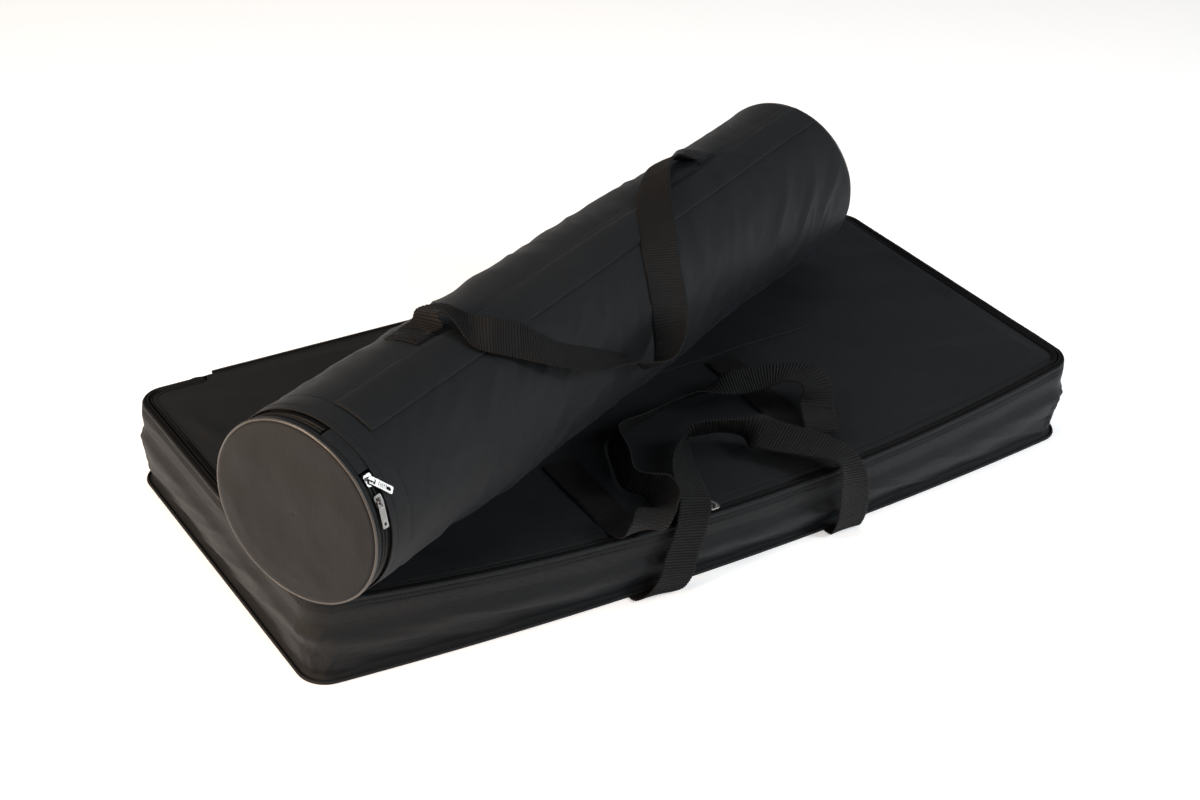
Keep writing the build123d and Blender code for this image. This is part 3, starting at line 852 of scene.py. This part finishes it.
lining_rows = tube_rows(
    [0.024 + (tube_length - 0.030) * i / 60 for i in range(61)],
    lambda s, a: 0.0916 + 0.0005 * noise.noise(Vector((s * 12, a * 0.05, 1))),
)
lining_finish = polyester("lining_cloth", (0.016, 0.016, 0.017), 0.75)
lining = skin("tube_lining", lining_rows, True, lining_finish, 0.0024, 1.0)
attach(lining, "tube_bag")
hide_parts("tube_liner")

# ---------------------------------------------------------------- cap of the tube and its zip
# The cap is a disc with a narrow band round it. A coil zip joins the band to the mouth, except
# along one patch of cloth that stays sewn and is the hinge.

hinge_roll = 31.5
patch_half = 15
zip_from = hinge_roll + patch_half + 1.5
zip_angles = [zip_from + (360 - 2 * (patch_half + 1.5)) * i / 150 for i in range(151)]


def ring_strip(name, profile, body, finish, nodes, closed=False):
    """Strip round the mouth; profile lists distances from the mouth and radii."""
    angles = angle_steps if closed else zip_angles
    strip = skin(name, [[tube_point(s, a, r) for a in angles] for s, r in profile], closed, finish, 0.0009, 0.0)
    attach(strip, body)
    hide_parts(*nodes)
    return strip


ring_strip(
    "cap_band_cloth", [(0.0030, 0.0955), (0.0036, 0.0968), (0.0056, 0.0973), (0.0076, 0.0970), (0.0084, 0.0962)],
    "tube_cap", pack_cloth, ["cap_rim_band"], True,
)
ring_strip("cap_tape_cloth", [(0.0080, 0.0958), (0.0100, 0.0960), (0.0122, 0.0958), (0.0134, 0.0952)], "tube_cap", zip_tape, ["cap_zip_tape"])
ring_strip("mouth_tape_cloth", [(0.0170, 0.0952), (0.0186, 0.0958), (0.0206, 0.0960), (0.0228, 0.0958)], "tube_bag", zip_tape, ["tube_zip_tape"])
for name, along, body in (("cap_zip_coil", 0.0133, "tube_cap"), ("tube_zip_coil", 0.0173, "tube_bag")):
    seats = []
    turns = round(math.radians(360 - 2 * (patch_half + 1.5)) * 0.0955 / tooth_pitch)
    for i in range(turns):
        angle = zip_from + (360 - 2 * (patch_half + 1.5)) * i / turns
        middle = tube_point(along, angle, 0.0956)
        out = (tube_point(0, angle, 1) - tube_point(0, angle, 0)).normalized()
        seats.append((middle, tube_axis.cross(out), tube_axis, out, tooth_pitch))
    coil_teeth(name + "_turns", seats, 0.0030, 0.0024, 0.66, body, name)

rows = []
for k in range(13):
    along = 0.0232 - 0.0152 * k / 12
    rows.append(
        [
            tube_point(
                along,
                hinge_roll - patch_half + 2 * patch_half * i / 24,
                0.0972 + 0.0006 * math.sin(math.pi * k / 12) + 0.0003 * noise.noise(Vector((i * 0.4, k * 0.3, 0))),
            )
            for i in range(25)
        ]
    )
hinge_patch = skin("cap_hinge_cloth", rows, False, pack_cloth, 0.0012, 0.0)
tuple(tube_point(0.0222, hinge_roll, 0.097))
tuple(tube_point(0.0082, hinge_roll, 0.097))
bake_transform(hinge_patch)
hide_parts("cap_hinge_patch")

# ---------------------------------------------------------------- webbing handles
# Three handles of 40 mm webbing. Each is sewn down flat at both ends and stands twisted on its
# selvedge between them, the way it dropped when the bags were put down.

mm = 0.001
half_web = 0.0200
thread_step = 0.0008


def smooth_pairs(pairs, step):
    """Stations along a strap, evenly close, from pairs of points on its two selvedges."""
    result = []
    count = len(pairs)
    for i in range(count - 1):
        four = [pairs[max(0, i - 1)], pairs[i], pairs[i + 1], pairs[min(count - 1, i + 2)]]
        middles = [(a + b) / 2 for a, b in four]
        parts = max(2, round((middles[2] - middles[1]).length / step))
        for k in range(parts):
            t = k / parts
            station = []
            for edge_index in (0, 1):
                p0, p1, p2, p3 = (pair[edge_index] for pair in four)
                station.append(
                    0.5 * (2 * p1 + (p2 - p0) * t + (2 * p0 - 5 * p1 + 4 * p2 - p3) * t**2 + (3 * p1 - p0 - 3 * p2 + p3) * t**3)
                )
            result.append(station)
    result.append(list(pairs[-1]))
    return result


def strap(name, pairs, body, nodes=(), cup=0.0010, first=0, last=None, seed=0.0):
    """Ribbon of webbing through pairs of selvedge points."""
    stations = smooth_pairs(pairs, thread_step)
    middles = [(a + b) / 2 for a, b in stations]
    stations_kept = range(len(stations))[first:last]
    across_count = 13
    columns = []
    for i in stations_kept:
        a, b = stations[i]
        across = (b - a).normalized()
        along = middles[min(i + 1, len(middles) - 1)] - middles[max(i - 1, 0)]
        out = across.cross(along).normalized()
        rib = -0.00030 * math.cos(i * math.pi / 2)
        wave = 0.0010 * noise.noise(Vector((i * 0.015, seed, 0)))
        column = []
        for k in range(across_count):
            u = 2 * k / (across_count - 1) - 1
            reach = u * (half_web + (rib * 0.7 if abs(u) == 1 else 0))
            bend = cup * (u * u - 0.5) + wave * u + rib
            column.append(middles[i] + across * reach + out * bend)
        columns.append(column)
    ribbon_rows = [[column[k] for column in columns] for k in range(across_count)]
    piece = skin(name, ribbon_rows, False, webbing, 0.0013, 0.0, thread_step)
    if nodes:
        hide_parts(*nodes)
    return piece


def two_part_strap(name, pairs, handle, starts, ends, nodes):
    """Strap in two halves, split at its middle station, each with its placement baked into its mesh."""
    total = len(smooth_pairs(pairs, thread_step))
    middle = total // 2
    first_half = strap(name + "_first_half", pairs, handle, nodes, last=middle + 1)
    second_half = strap(name + "_second_half", pairs, handle, (), first=middle)
    for half, start, end in ((first_half, starts[0], ends[0]), (second_half, starts[1], ends[1])):
        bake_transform(half)
    return first_half, second_half


def in_frame(*pairs):
    return [(Vector(a) * mm, Vector(b) * mm) for a, b in pairs]


LID_STRIPS = {"left": (-0.143, -0.2330, -0.100), "right": (0.134, -0.1840, -0.010)}
for name, (x, front_end, back_end) in LID_STRIPS.items():
    pairs = []
    for i in range(25):
        y = front_end + (back_end - front_end) * i / 24
        pair = []
        for px in (x + half_web, x - half_web):
            pair.append(Vector((px, y, lid_top(px, y) + lid_ripple(px, y) + 0.0018)))
        pairs.append(tuple(pair))
    piece = strap(f"lid_strip_{name}", pairs, "flat_lid", [f"lid_handle_strip_{name}"], cup=0.0002)
    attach(piece, "flat_lid")
    box_lines = []
    reach, top_y, low_y = half_web - 0.0025, back_end - 0.003, back_end - 0.040
    if name == "left":
        top_y, low_y = front_end + 0.075, front_end + 0.030
    corners = [(x - reach, low_y), (x + reach, low_y), (x + reach, top_y), (x - reach, top_y), (x - reach, low_y)]
    for run in (corners, [corners[0], corners[2]], [corners[1], corners[3]]):
        line = []
        for (ax, ay), (bx, by) in zip(run, run[1:]):
            for k in range(12):
                px, py = ax + (bx - ax) * k / 12, ay + (by - ay) * k / 12
                line.append((Vector((px, py, lid_top(px, py) + lid_ripple(px, py) + 0.0028)), Vector((0, 0, 1))))
        box_lines.append(line)
    stitches(f"lid_strip_stitches_{name}", box_lines, "flat_lid")

lid_handle_pairs = in_frame(
    ((114, -176, 85.0), (154, -176, 85.4)),
    ((115, -185, 88), (154, -186, 89)),
    ((118, -197, 97), (154, -205, 97)),
    ((124, -191, 106), (158, -204, 106)),
    ((145, -152, 106), (175, -178, 108)),
    ((152, -148, 120), (190, -152, 116)),
    ((150, -142, 127), (188, -130, 129)),
    ((140, -130, 126), (172, -106, 128)),
    ((126, -122, 120), (148, -90, 124)),
    ((106, -116, 115), (120, -80, 122)),
    ((86, -111, 114), (100, -75, 120)),
    ((62, -103, 118), (78, -70, 105)),
    ((43, -96, 121), (60, -72, 101)),
    ((14, -95, 119), (30, -71, 97)),
    ((-30, -101, 118), (-14, -79, 92)),
    ((-62, -104, 117), (-47, -86, 92)),
    ((-77, -117, 118), (-75, -98, 92)),
    ((-89, -156, 119), (-95, -140, 89)),
    ((-103, -190, 118), (-104, -174, 86)),
    ((-92, -207, 119), (-94, -193, 84)),
    ((-76, -217, 117), (-93, -210, 83)),
    ((-80, -240, 114), (-99, -229, 84)),
    ((-96, -262, 114), (-116, -232, 96)),
    ((-106, -271, 110), (-134, -243, 110)),
    ((-115, -265, 90), (-149, -257, 107)),
    ((-121, -249, 87), (-159, -256, 90)),
    ((-123, -239, 84.0), (-163, -239, 84.0)),
    ((-123, -227, 81.2), (-163, -227, 81.4)),
)
two_part_strap(
    "lid_handle_strap", lid_handle_pairs, "lid_handle",
    [(0.134, -0.178, 0.085), (-0.143, -0.229, 0.081)], [(0.136, -0.200, 0.100), (-0.135, -0.262, 0.096)],
    ["lid_handle_loop"],
)

base_handle_pairs = in_frame(
    ((-141, -251, 1), (-101, -251, 1)),
    ((-138, -259, 3), (-98, -261, 3)),
    ((-124, -262, 10), (-85, -266, 6)),
    ((-114, -264, 28), (-75, -269, 22)),
    ((-108, -261, 48), (-69, -267, 40)),
    ((-96, -257, 70), (-58, -262, 62)),
    ((-88, -252, 88), (-49, -256, 82)),
    ((-77, -238, 103), (-40, -240, 92)),
    ((-60, -200, 108), (-26, -192, 97)),
    ((-36, -166, 107), (-5, -150, 94)),
    ((-16, -153, 113), (7, -132, 93)),
    ((0, -153, 124), (17, -137, 96)),
    ((26, -164, 127), (42, -146, 98)),
    ((52, -174, 126), (62, -161, 94)),
    ((84, -178, 118), (58, -190, 98)),
    ((103, -194, 114), (70, -212, 99)),
    ((124, -218, 111), (91, -238, 103)),
    ((138, -238, 105), (104, -256, 106)),
    ((147, -256, 97), (110, -267, 105)),
    ((149, -270, 85), (112, -275, 95)),
    ((152, -274, 66), (115, -275, 72)),
    ((158, -271, 45), (119, -271, 49)),
    ((160, -268, 22), (120, -268, 24)),
    ((158, -264, 7), (118, -264, 7)),
    ((159, -258, 2), (119, -258, 2)),
    ((159, -251, 1), (119, -251, 1)),
)
two_part_strap(
    "base_handle_strap", base_handle_pairs, "base_handle",
    [(-0.120, -0.255, 0.001), (0.139, -0.255, 0.001)], [(-0.105, -0.266, 0.030), (0.140, -0.270, 0.030)],
    ["base_handle_loop"],
)
for name, x in (("left", -0.121), ("right", 0.139)):
    pairs = []
    for i in range(20):
        y = -0.252 + 0.148 * i / 19
        pairs.append((Vector((x + half_web, y, 0.0009)), Vector((x - half_web, y, 0.0009))))
    piece = strap(f"base_strip_{name}", pairs, "flat_bag", [f"base_handle_strip_{name}"], cup=0.0)
    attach(piece, "flat_bag")

tube_handle_pairs = [
    (tube_point(a[0] * mm, a[1], a[2] * mm), tube_point(b[0] * mm, b[1], b[2] * mm))
    for a, b in (
        ((206, -23, 100.2), (206, 1, 100.2)),
        ((213, -23, 101.0), (213, 1, 101.0)),
        ((220, -18, 106), (219, 5, 107)),
        ((230, -16, 114), (218, 2, 122)),
        ((249, -8, 112), (226, 7, 115)),
        ((250, 7, 112), (224, 23, 103)),
        ((262, 18, 114), (235, 33, 103)),
        ((287, 29, 110), (263, 45, 104)),
        ((322, 48, 101), (298, 62, 122)),
        ((364, 64, 101), (341, 71, 128)),
        ((421, 83, 101), (396, 79, 126)),
        ((440, 94, 110), (417, 83, 126)),
        ((456, 94, 113), (444, 84, 145)),
        ((471, 86, 104), (480, 79, 140)),
        ((485, 60, 101), (510, 66, 127)),
        ((509, 36, 101), (536, 47, 122)),
        ((541, 20, 101), (564, 31, 124)),
        ((584, 2, 101), (601, 17, 121)),
        ((645, -16, 101), (653, 1, 119)),
        ((685, -25, 102), (687, -6, 117)),
        ((707, -25, 102), (702, -5, 114)),
        ((718, -24, 101.6), (714, -1, 107)),
        ((728, -23.5, 100.6), (728, 0, 100.6)),
    )
]
two_part_strap(
    "tube_handle_strap", tube_handle_pairs, "tube_handle",
    [tube_point(0.208, -11, 0.100), tube_point(0.727, -11, 0.100)],
    [tube_point(0.246, 6, 0.108), tube_point(0.680, -14, 0.108)],
    ["tube_handle_loop"],
)
for name, start, end in (("left", 0.186, 0.2125), ("right", 0.7235, 0.757)):
    rows = []
    for k in range(17):
        angle = -24 + 24.6 * k / 16
        count = 22
        rows.append(
            [
                tube_point(start + (end - start) * i / count, angle, wall_radius(start, angle) + 0.0026)
                for i in range(count + 1)
            ]
        )
    patch = skin(f"tube_strip_{name}", rows, False, webbing, 0.0015, 0.0)
    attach(patch, "tube_bag")
    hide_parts(f"tube_handle_anchor_{name}")
    inner, outer = start + 0.003, end - 0.003
    box = [(inner, -22), (outer, -22), (outer, -1.5), (inner, -1.5), (inner, -22), (outer, -1.5)]
    line = []
    for (s0, a0), (s1, a1) in zip(box, box[1:]):
        line += [(s0 + (s1 - s0) * k / 10, a0 + (a1 - a0) * k / 10, 0.0035) for k in range(11)]
    cross = [(inner + (outer - inner) * k / 10, -1.5 - 20.5 * k / 10, 0.0035) for k in range(11)]
    stitches(f"tube_strip_stitches_{name}", [tube_line(line), tube_line(cross)], "tube_bag")

# ---------------------------------------------------------------- zip sliders and their pulls
# Plated cast sliders, two on each zip, with flat pulls that hang from an arched bail. The board in
# the flat bag's base is plain black sheet.


def plated(name):
    """Bright nickel plating with fine wear."""
    material, shader, place = new_finish(name)
    wear = place.node("ShaderNodeTexNoise", {}, Vector=place, Scale=500.0, Detail=4.0)
    feed(material, shader, Roughness=wear * 0.30 + 0.20)
    shader.inputs["Base Color"].default_value = (0.34, 0.335, 0.325, 1)
    shader.inputs["Metallic"].default_value = 1.0
    return material


nickel = plated("nickel_plate")
pull_length, pull_width = 0.0274, 0.0080


def outline_of(kind, middle, length, width, count=8):
    """Rounded oblong as a ring of points, for a pull's edge or one of its holes."""
    radius = min(width / 2, length / 2) * (0.98 if kind == "slot" else 0.35)
    ring = []
    for quarter, (sx, sy) in enumerate(((1, 1), (-1, 1), (-1, -1), (1, -1))):
        for k in range(count + 1):
            a = math.pi / 2 * (quarter + k / count)
            ring.append(
                (
                    middle + sx * (length / 2 - radius) + radius * math.cos(a),
                    sy * (width / 2 - radius) + radius * math.sin(a),
                )
            )
    return ring


def pull_plate(name, pivot, reach, normal, hole_length, marks):
    """Stamped pull: a plate with a bail ring at one end, a hole at the other and marks between."""
    curve = bpy.data.curves.new(name + "_outline", "CURVE")
    curve.dimensions = "2D"
    curve.fill_mode = "BOTH"
    curve.extrude = 0.00035
    curve.bevel_depth = 0.00022
    curve.bevel_resolution = 2
    shapes = [
        outline_of("plate", pull_length / 2 - 0.0006, pull_length, pull_width - 0.0004),
        outline_of("plate", 0.0034, 0.0056, 0.0052),
        outline_of("slot", pull_length - 0.0010 - hole_length / 2 - 0.0016, hole_length, 0.0036),
    ]
    for shape in shapes:
        spline = curve.splines.new("POLY")
        spline.points.add(len(shape) - 1)
        for point, (u, v) in zip(spline.points, shape):
            point.co = (u, v, 0, 1)
        spline.use_cyclic_u = True
    stamped = bpy.data.objects.new(name + "_outline", curve)
    bpy.context.collection.objects.link(stamped)
    mesh = bpy.data.meshes.new_from_object(stamped.evaluated_get(bpy.context.evaluated_depsgraph_get()))
    bpy.data.objects.remove(stamped)
    body = bmesh.new()
    body.from_mesh(mesh)
    for u, v, long, wide in marks:
        mark = bmesh.ops.create_uvsphere(body, u_segments=12, v_segments=8, radius=1.0)
        for vert in mark["verts"]:
            vert.co = Vector((u + vert.co.x * long / 2, v + vert.co.y * wide / 2, 0.00045 + vert.co.z * 0.00060))
    across = normal.cross(reach)
    for vert in body.verts:
        vert.co = pivot + reach * vert.co.x + across * vert.co.y + normal * vert.co.z
    body.to_mesh(mesh)
    body.free()
    mesh.materials.clear()
    mesh.materials.append(nickel)
    mesh.polygons.foreach_set("use_smooth", [True] * len(mesh.polygons))
    piece = bpy.data.objects.new(name, mesh)
    bpy.context.collection.objects.link(piece)
    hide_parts(name.replace("_plate", ""))
    return piece


bars = [(0.0100 + 0.0022 * i, 0.0, 0.0012, 0.0058) for i in range(5)]
studs = [(0.0092 + 0.0024 * i, 0.0019 * j, 0.0015, 0.0013) for i in range(5) for j in (-1, 0, 1)]
for side_name, angle, tip, hole_length, marks in (
    ("upper", 52, (0.036, 66, 0.103), 0.0056, bars),
    ("lower", 64.5, (0.012, 84, 0.1025), 0.0036, studs),
):
    seat = tube_point(0.0153, angle, 0.0951)
    out = (tube_point(0, angle, 1) - tube_point(0, angle, 0)).normalized()
    pivot = seat + out * 0.0051
    reach_way = (tube_point(*tip) - pivot).normalized()
    face = (out - reach_way * out.dot(reach_way)).normalized()
    plate = pull_plate(f"cap_pull_{side_name}_plate", pivot, reach_way, face, hole_length, marks)
    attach(plate, f"cap_pull_{side_name}")

board_finish, shader, place = new_finish("board_sheet")
scuffs = place.node("ShaderNodeTexNoise", {}, Vector=place, Scale=60.0, Detail=5.0)
feed(board_finish, shader, Roughness=scuffs * 0.3 + 0.45)
shader.inputs["Base Color"].default_value = (0.02, 0.02, 0.02, 1)
for name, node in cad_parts.items():
    finish = nickel if ("slider" in name or "pull" in name) else board_finish if name == "base_board" else None
    if finish:
        node.data.materials.clear()
        node.data.materials.append(finish)
